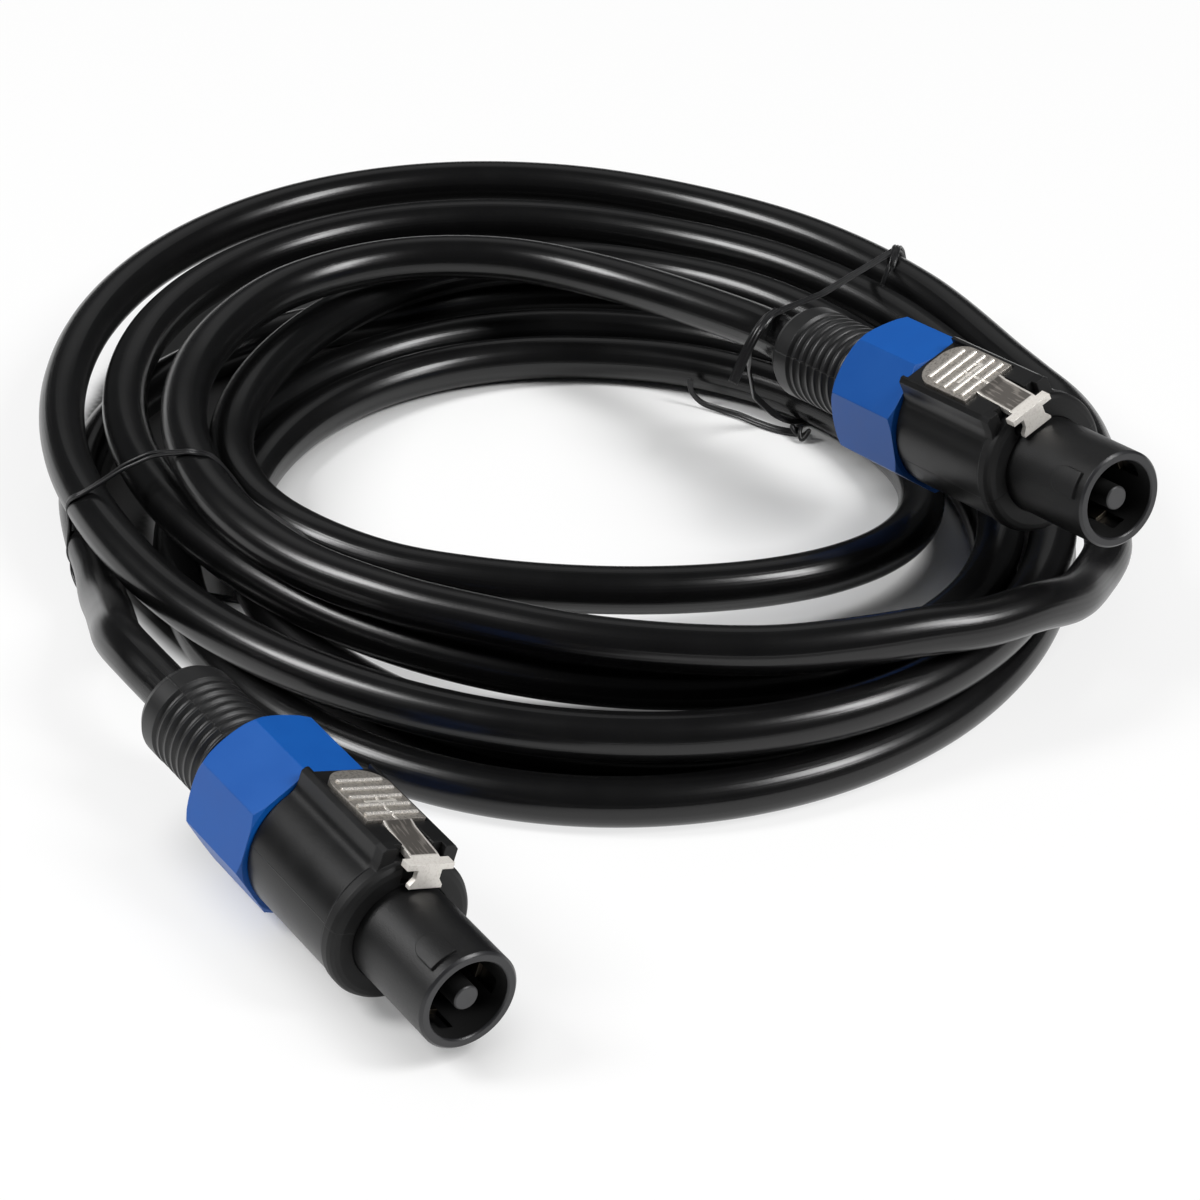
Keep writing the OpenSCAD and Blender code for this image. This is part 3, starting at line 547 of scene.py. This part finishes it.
def latch_finish(stand):
    """Cast, plated metal of the latch: warm and finely pitted, brighter on its ribs, with a raised arrow across
    the thumb plate, a line down its middle, and a darker, streaked neck between lighter edges."""
    finish = Finish("latch_metal_" + stand.name)
    x, y, z = finish.axes(finish.stood(stand))
    thumb = x.near(PLATE_X, PLATE_LONG, 0.1) * z.above(LATCH_TOP - 2.0, 0.2)
    ribs = thumb * z.above(LATCH_TOP + 0.16, 0.12)
    shaft = (x - ARROW_X).near(0, 0.7, 0.15) * (y - 0.3).near(0, 7.2, 0.2)
    tip = ((x - ARROW_X).size() + y * 0.8).near(3.3, 0.7, 0.15) * y.near(3.2, 1.6, 0.1)
    middle = y.near(0, 0.7, 0.15) * x.near(-39.2, 8.4, 0.2)
    mark = thumb * shaft.math("MAXIMUM", tip).math("MAXIMUM", middle)
    grain = finish.noise(0.45, None, 4.0, 0.7)
    fleck = finish.noise(0.55, None, 3.0, 0.6).above(0.56, 0.16)
    field = thumb * (1 - ribs.math("MAXIMUM", mark))
    neck = x.near(NECK_X, NECK_LONG, 0.3) * (1 - y.size().above(2.85, 0.15))
    front = x.above(-24.4, 0.3)
    streak = finish.noise(0.8, finish.stood(stand), 2.0, 0.5, stretch=(0.12, 1, 1)).above(0.56, 0.1)
    light = finish.mix(0.35 * fleck, (0.93, 0.89, 0.83), (0.66, 0.61, 0.55))
    light = finish.mix(neck, light, finish.mix(streak, (0.24, 0.22, 0.20), (0.46, 0.42, 0.38)))
    return finish.set(
        Base_Color=finish.mix(field, light, finish.mix(fleck, (0.60, 0.56, 0.51), (0.36, 0.33, 0.295))),
        Metallic=0.60 + 0.22 * field + 0.22 * neck - 0.25 * front,
        Roughness=0.32 + 0.08 * fleck - 0.06 * ribs,
        Normal=finish.relief((0.010 + 0.035 * field) * grain + 0.22 * mark, 1.0, finish.soft_edges(0.22)))


def plain_finish(name, dark, light, roughness, metallic=0.0, grain_mm=0.4, depth=0.006):
    """A finish between two near colours, with a fine grain."""
    finish = Finish(name)
    cloud = finish.noise(5, None, 3.0)
    grain = finish.noise(grain_mm, None, 2.0)
    return finish.set(Base_Color=finish.mix(cloud, dark, light), Metallic=metallic,
                      Roughness=roughness + 0.1 * cloud,
                      Normal=finish.relief(depth * grain, 1.0, finish.soft_edges(0.15)))


# ---- the cable ------------------------------------------------------------------------------------------------
jacket = jacket_finish()
cable_line = smooth_line(cable_knots(), 2.5 * MM)
cable = tube("cable", cable_line, SKIN_MM * MM, 28)
jacket.coat(cable)
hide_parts("cable_coil", "cable_lead_floor", "cable_lead_top")
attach(cable, "cable_root")


# ---- the ties -------------------------------------------------------------------------------------------------
THIN_WRAP = ((-15.7, -63.5), 232.0)
FLAT_WRAP = ((1.4, 70.2), 124.0)


def tie_outline(wrap, clear_mm):
    """The closed line of a tie drawn tight round the cable's passes, in its own upright plane: distances along
    and up in mm. For each direction it takes the pass whose cut, an ellipse, reaches furthest that way."""
    points = cable_line / MM
    along, aside = tie_axes(points, wrap)
    cut = np.flatnonzero((aside[:-1] * aside[1:] < 0) & (along[:-1] > -20) & (along[:-1] < 90))
    share = (aside[cut] / (aside[cut] - aside[cut + 1]))[:, None]
    middle = np.column_stack([along, points[:, 2]])
    middle = middle[cut] + share * (middle[cut + 1] - middle[cut])
    facing = math.radians(wrap[1] + 90)
    wide = SKIN_MM / np.abs(unit(points[cut + 1] - points[cut]) @ (math.cos(facing), math.sin(facing), 0))
    turn = np.linspace(0, 2 * np.pi, 721)
    out = np.column_stack([np.cos(turn), np.sin(turn)])
    reach = np.sqrt((wide * out[:, :1]) ** 2 + (SKIN_MM * out[:, 1:]) ** 2)
    furthest = (out @ middle.T + reach).argmax(1)
    far = np.take_along_axis(reach, furthest[:, None], 1)
    ellipse = np.column_stack([wide[furthest] ** 2, np.full(len(out), SKIN_MM ** 2)])
    return middle[furthest] + out * ellipse / far + out * clear_mm


def wrap_point(wrap, along, aside, up):
    """Points of a tie's plane in the part's frame, in metres."""
    (x, y), turn = wrap
    c, s = math.cos(math.radians(turn)), math.sin(math.radians(turn))
    along, aside, up = (np.asarray(v, float) for v in (along, aside, up))
    return np.stack([x + along * c - aside * s, y + along * s + aside * c, up], -1) * MM


def wrap_line(wrap, clear_mm, sway, step_mm=0.5):
    """A tie's closed line with its sway aside, a table of (run in mm, aside in mm) from the outer side on."""
    run, line = even(tie_outline(wrap, clear_mm), step_mm, closed=True)
    length = run[-1] + step_mm
    sway = np.array(sway, float)
    smooth = np.interp(run, sway[:, 0] * length / sway[-1, 0], sway[:, 1])
    kernel = np.hanning(13)
    smooth = np.convolve(np.concatenate([smooth[-6:], smooth, smooth[:6]]), kernel / kernel.sum(), "valid")
    return run / length, wrap_point(wrap, line[:, 0], smooth, line[:, 1])


def free_line(wrap, knots, step_mm=0.4):
    """A smooth line through knots given as (along, aside, up) in a tie's plane."""
    along, aside, up = np.array(knots, float).T
    return smooth_line(wrap_point(wrap, along, aside, up), step_mm * MM)


def facing_of(wrap):
    """The direction square to a tie's plane."""
    turn = math.radians(wrap[1])
    return np.array([-math.sin(turn), math.cos(turn), 0.0])


def add_thin_tie():
    """Doubled wire round the cable's near left, with a long free end, a twisted end and its eye."""
    sway = [(0, -2), (5, -4), (11, -2), (17, 1), (22, -1), (28, -4.5), (34.5, -5), (38.5, -3), (43, 0), (48, 2),
            (51, 1.5), (56.5, 5.5), (61, 10), (76, 12), (100, 8), (139, -1.5), (147, -2)]
    wire = round_section(0.43 * MM)
    across = facing_of(THIN_WRAP)
    pieces = []
    for name, side in (("upper", 1), ("lower", -1)):
        share, line = wrap_line(THIN_WRAP, 0.46, sway)
        spread = 0.45 + 0.75 * np.exp(-((share - 0.21) / 0.045) ** 2)
        line = line + (side * spread * MM)[:, None] * across
        pieces.append(strand("tie_thin_" + name, line, across, wire, closed=True))
    end = np.array([(-40.6, -96.6, 6.0), (-39.6, -97.2, 3.4), (-36.6, -97.8, 1.7), (-31.9, -98.3, 1.0),
                    (-26.5, -99.3, 0.7), (-21.2, -100.3, 0.6), (-14.8, -101.5, 0.6), (-9.6, -101.7, 0.6),
                    (-5.5, -100.6, 0.6)])
    pieces.append(strand("tie_thin_end", smooth_line(end * MM, 0.4 * MM), np.array([0, 0, 1.0]), wire))
    turn = np.linspace(0, 2 * np.pi, 40, endpoint=False)
    eye = np.array([-23.4, -96.6, 1.6]) + 1.5 * np.column_stack([np.cos(turn), np.sin(turn), 0.35 * np.sin(turn)])
    pieces.append(strand("tie_thin_eye", eye * MM, np.array([0, 0, 1.0]), wire, closed=True))
    stub = np.array([(-30.6, -95.0, 1.6), (-27.8, -95.6, 1.2), (-25, -96.2, 0.9), (-21.9, -96.9, 0.8),
                     (-18, -97.6, 0.8)])
    length, line = even(smooth_line(stub * MM, 0.3 * MM), 0.3 * MM)
    pieces.append(strand("tie_thin_twist", line, np.array([0, 0, 1.0]), ribbed_section(1.7 * MM, 0.8 * MM, 2, 20),
                         twist=length / MM * 1.6))
    return pieces


def add_flat_tie():
    """Flat wired strip round the far side: the wrap, its folded end over the outer pass, its cut end by the boot,
    and a tail with a knot along the inner edge."""
    across = facing_of(FLAT_WRAP)
    strip = ribbed_section(2.2 * MM, 0.62 * MM)
    sway = [(0, -2), (9.5, -1.5), (58, 0), (72, 2.2), (81, 3.4), (87, 4.4), (92.5, 6.8), (120, 11), (130, 8),
            (134, 4.5), (140, 0), (171, -1), (199.5, -2)]
    share, line = wrap_line(FLAT_WRAP, 0.38, sway)
    twist = 1.25 * ease((share - 0.47) / 0.05) * (1 - ease((share - 0.64) / 0.05))
    pieces = [strand("tie_flat_wrap", line, across, strip, twist=twist, closed=True)]
    fold = free_line(FLAT_WRAP, [(71.6, -2, 17.5), (69.6, -2, 21.2), (66.4, -2.2, 23.6), (62.6, -2.9, 24.0),
                                 (59.2, -3.2, 22.0), (57.4, -2.6, 18.6), (56.9, -1.6, 15.0), (57.6, -0.9, 12.2)])
    pieces.append(strand("tie_flat_fold", fold, across, strip))
    cut = free_line(FLAT_WRAP, [(-5.5, 2.8, 39.9), (-9.4, 3.5, 40.0), (-12.6, 4.6, 38.4), (-14.7, 5.8, 35.4),
                                (-15.8, 7.0, 32.0), (-16.6, 8.0, 28.8), (-17.3, 9.0, 25.6)])
    pieces.append(strand("tie_flat_cut", cut, across, ribbed_section(2.4 * MM, 0.62 * MM)))
    tail = np.array([(-4.4, 75.9, 0.9), (-8.5, 72.8, 0.9), (-13.6, 70.6, 1.0), (-19, 68.9, 1.1), (-24.2, 66.4, 1.2),
                     (-28.6, 64.4, 1.8), (-30.6, 63.2, 4.2), (-30.9, 63.0, 7.2)])
    tail = smooth_line(tail * MM, 0.4 * MM)
    pieces.append(strand("tie_flat_tail", tail, np.array([0, 0, 1.0]), ribbed_section(1.7 * MM, 0.5 * MM),
                         twist=np.linspace(0.9, -0.3, len(tail))))
    turn = np.linspace(0, 2 * np.pi, 90, endpoint=False)
    knot = (np.array([-3.2, 75.6, 1.9])
            + np.column_stack([2.3 * np.cos(turn), 1.2 * np.sin(2 * turn), 0.9 * np.sin(3 * turn)]))
    pieces.append(strand("tie_flat_knot", knot * MM, np.array([0, 0, 1.0]), round_section(0.5 * MM), closed=True))
    return pieces


# ---- the connectors -------------------------------------------------------------------------------------------
# the contacts' metal is darkened far below its own colour, as painted shade deep in the bore
contact_metal = plain_finish("contact_metal", (0.20, 0.17, 0.13), (0.27, 0.23, 0.18), 0.34, 1.0)
steel = plain_finish("screw_steel", (0.50, 0.50, 0.50), (0.60, 0.60, 0.59), 0.30, 1.0)
chuck_nylon = plain_finish("chuck_nylon", (0.62, 0.61, 0.57), (0.70, 0.69, 0.65), 0.45)
wire_skin = plain_finish("wire_skin", (0.30, 0.02, 0.02), (0.36, 0.03, 0.03), 0.40)
stub_jacket = plain_finish("black_pvc_stub", (0.0032, 0.0032, 0.0034), (0.0055, 0.0055, 0.0056), 0.24)

SEAM = {"floor": 41, "top": 51}


def coat_connector(stand):
    """Puts a finish on each solid of a connector."""
    finishes = {
        "shell": shell_finish(stand), "nose": nose_finish(stand), "nut": nut_finish(stand),
        "boot": rubber_finish(stand, SEAM[stand.name]), "latch": latch_finish(stand), "post": post_finish(stand),
        "contacts": contact_metal, "screws": steel, "chuck": chuck_nylon, "wires": wire_skin,
        "cable_end": stub_jacket}
    for kind, finish in finishes.items():
        finish.coat(nodes[kind + "_" + stand.name])


def add_latch_spring(stand):
    """Fine wire in nine coils behind the latch's stem."""
    coils, front, rear, middle, radius, travel = 9, -40.3, -53.7, 14.55, 1.2, 3.0
    turn = np.linspace(0, 2 * np.pi * coils, coils * 20 + 1)
    line = np.array([stand.point(x, radius * math.cos(a), middle + radius * math.sin(a))
                     for x, a in zip(np.linspace(front, rear, len(turn)), turn)])
    spring = strand("latch_spring_wire_" + stand.name, line, stand.turn[:, 0], round_section(0.25 * MM, 8))
    steel.coat(spring)
    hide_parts("latch_spring_" + stand.name)
    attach(spring, "cable_root")
    stand.point(rear - 0.25, 0, middle).tolist()
    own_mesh(spring)


for stand in STANDS:
    coat_connector(stand)
    add_latch_spring(stand)

tie_skin = plain_finish("tie_black", (0.008, 0.008, 0.0085), (0.013, 0.013, 0.014), 0.28)
for node, pieces in (("tie_thin", add_thin_tie()), ("tie_flat", add_flat_tie())):
    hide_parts(node)
    for piece in pieces:
        tie_skin.coat(piece)
        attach(piece, "cable_root")


# ---- floor and light ------------------------------------------------------------------------------------------
FLOOR_WHITE = 0.76
# each pair, in metres: where a share starts to change, and over what distance
EDGE = (-0.002, 0.006)
SHADE = (0.018, 0.006)
HOLE = (0.010, 0.035)
CONNECTOR = (0.004, 0.018)
CONNECTOR_LEAST = 0.3


def reach_of(coil, x, y, pick, start):
    """The least or greatest distance of the coil from its middle, in the direction of each point, from 180 bins."""
    bins = np.full(180, start)
    pick.at(bins, ((np.arctan2(coil[:, 1], coil[:, 0]) / np.pi + 1) * 90).astype(int) % 180,
            np.linalg.norm(coil, axis=1))
    return np.interp(np.arctan2(y, x), (np.arange(180) + 0.5) / 90 * np.pi - np.pi, bins, period=2 * np.pi)


def eased(distance, start, over):
    """0 up to a start and 1 from over further on, eased between."""
    return ease((distance - start) / over)


def floor_shares(x, y):
    """Shares of plain white and of painted deep shade on the floor at points in metres. White eases in from 10 mm to
    45 mm beside the cable in the coil's hole and from the connector that lies on the floor, and is whole outside.
    The painted shade, a dark floor colour, lies from 20 mm outside the coil's inner outline to its outer outline,
    where the passes cover the floor or nearly touch."""
    line = cable_line[::3, :2].astype(np.float32)
    gap = np.sqrt(((x.ravel()[:, None] - line[None, :, 0]).astype(np.float32) ** 2
                   + (y.ravel()[:, None] - line[None, :, 1]).astype(np.float32) ** 2).min(1)).reshape(x.shape)
    middle = np.array(LOOPS[-1, :2]) * MM
    coil = coil_points(np.linspace(0, TURNS_IN + TURNS_OUT, 2000))[:, :2] * MM - middle
    dx, dy = x - middle[0], y - middle[1]
    radius = np.hypot(dx, dy)
    within = eased(reach_of(coil, dx, dy, np.maximum, 0.0) - radius, *EDGE)
    # painted shade: the share of the floor's colour that is turned dark between the coil's passes
    painted_shade = within * eased(radius - reach_of(coil, dx, dy, np.minimum, 1.0), *SHADE)
    first, last = ON_FLOOR.point(-11)[:2], ON_FLOOR.point(-85)[:2]
    ahead = (last - first) / np.linalg.norm(last - first)
    along = np.clip((x - first[0]) * ahead[0] + (y - first[1]) * ahead[1], 0, np.linalg.norm(last - first))
    beside = np.hypot(x - first[0] - along * ahead[0], y - first[1] - along * ahead[1])
    white = ((1 - within * (1 - eased(gap, *HOLE)))
             * (CONNECTOR_LEAST + (1 - CONNECTOR_LEAST) * eased(beside, *CONNECTOR)))
    return FLOOR_WHITE * white, painted_shade


def add_floor():
    """A wide pale floor just under the coil, its colour painted dark as shade between the coil's passes. What the
    lens, glossy and clear surfaces see of it is mixed with plain white; its light on the object is not."""
    side = np.concatenate([[-20, -3, -1, -0.5, -0.3], np.linspace(-0.22, 0.22, 275), [0.3, 0.5, 1, 3, 20]])
    x, y = np.meshgrid(side, side, indexing="ij")
    floor = grid_mesh("floor", np.stack([x, y, np.full_like(x, -0.00005)], 2))
    for name, share in zip(("white_share", "covered_share"), floor_shares(x, y)):
        floor.data.attributes.new(name, "FLOAT", "POINT").data.foreach_set("value", share.ravel().astype(np.float32))
    finish = Finish("pale_floor", Roughness=0.6, Specular_IOR_Level=0.2)
    painted_shade = finish.node("ShaderNodeAttribute", {"attribute_name": "covered_share"}, {}, "Fac")
    # painted shade: this share turns the floor's colour dark between the coil's passes
    finish.set(Base_Color=finish.mix(painted_shade, (0.93, 0.93, 0.925), (0.06, 0.06, 0.06)))
    seen = finish.tree.nodes.new("ShaderNodeLightPath").outputs
    seen = (Value(finish, seen["Is Camera Ray"]).math("MAXIMUM", Value(finish, seen["Is Glossy Ray"]))
            .math("MAXIMUM", Value(finish, seen["Is Transmission Ray"])))
    share = finish.node("ShaderNodeAttribute", {"attribute_name": "white_share"}, {}, "Fac")
    white = finish.tree.nodes.new("ShaderNodeEmission")
    mixed = finish.tree.nodes.new("ShaderNodeMixShader")
    finish.feed(mixed.inputs[0], seen * share)
    finish.tree.links.new(finish.shader.outputs[0], mixed.inputs[1])
    finish.tree.links.new(white.outputs[0], mixed.inputs[2])
    finish.tree.links.new(mixed.outputs[0], finish.tree.nodes["Material Output"].inputs["Surface"])
    finish.coat(floor)


def add_lamp(name, azimuth, height, size, radiance, distance=2.4, target=(0, 0, 0.01)):
    """A rectangular soft lamp that faces a target from a direction, given as an azimuth and a height in degrees;
    its brightness to the eye stays as given whatever its size."""
    turn, rise = math.radians(azimuth), math.radians(height)
    data = bpy.data.lights.new(name, "AREA")
    data.shape, data.size, data.size_y = "RECTANGLE", size[0], size[1]
    data.energy = radiance * math.pi * size[0] * size[1]
    lamp = bpy.data.objects.new(name, data)
    bpy.context.scene.collection.objects.link(lamp)
    place = np.array(target) + distance * np.array((math.cos(rise) * math.cos(turn),
                                                    math.cos(rise) * math.sin(turn), math.sin(rise)))
    aim(lamp, place, target)
    return lamp


def add_world():
    """A dim even surround."""
    world = bpy.data.worlds.new("surround")
    bpy.context.scene.world = world
    world.use_nodes = True
    surround = world.node_tree.nodes["Background"]
    surround.inputs["Color"].default_value = (0.95, 0.975, 1.0, 1)
    surround.inputs["Strength"].default_value = 0.05


add_floor()
add_world()
add_lamp("left", -118, 47, (0.58, 0.98), 19.0)
add_lamp("right", 32, 45, (0.58, 0.98), 19.0)
add_lamp("back", 147, 42, (2.0, 1.2), 0.35)
fill = add_lamp("fill", -30, 86, (3.0, 3.0), 0.62)
fill.visible_glossy = False
bpy.context.scene.view_settings.view_transform = "Standard"
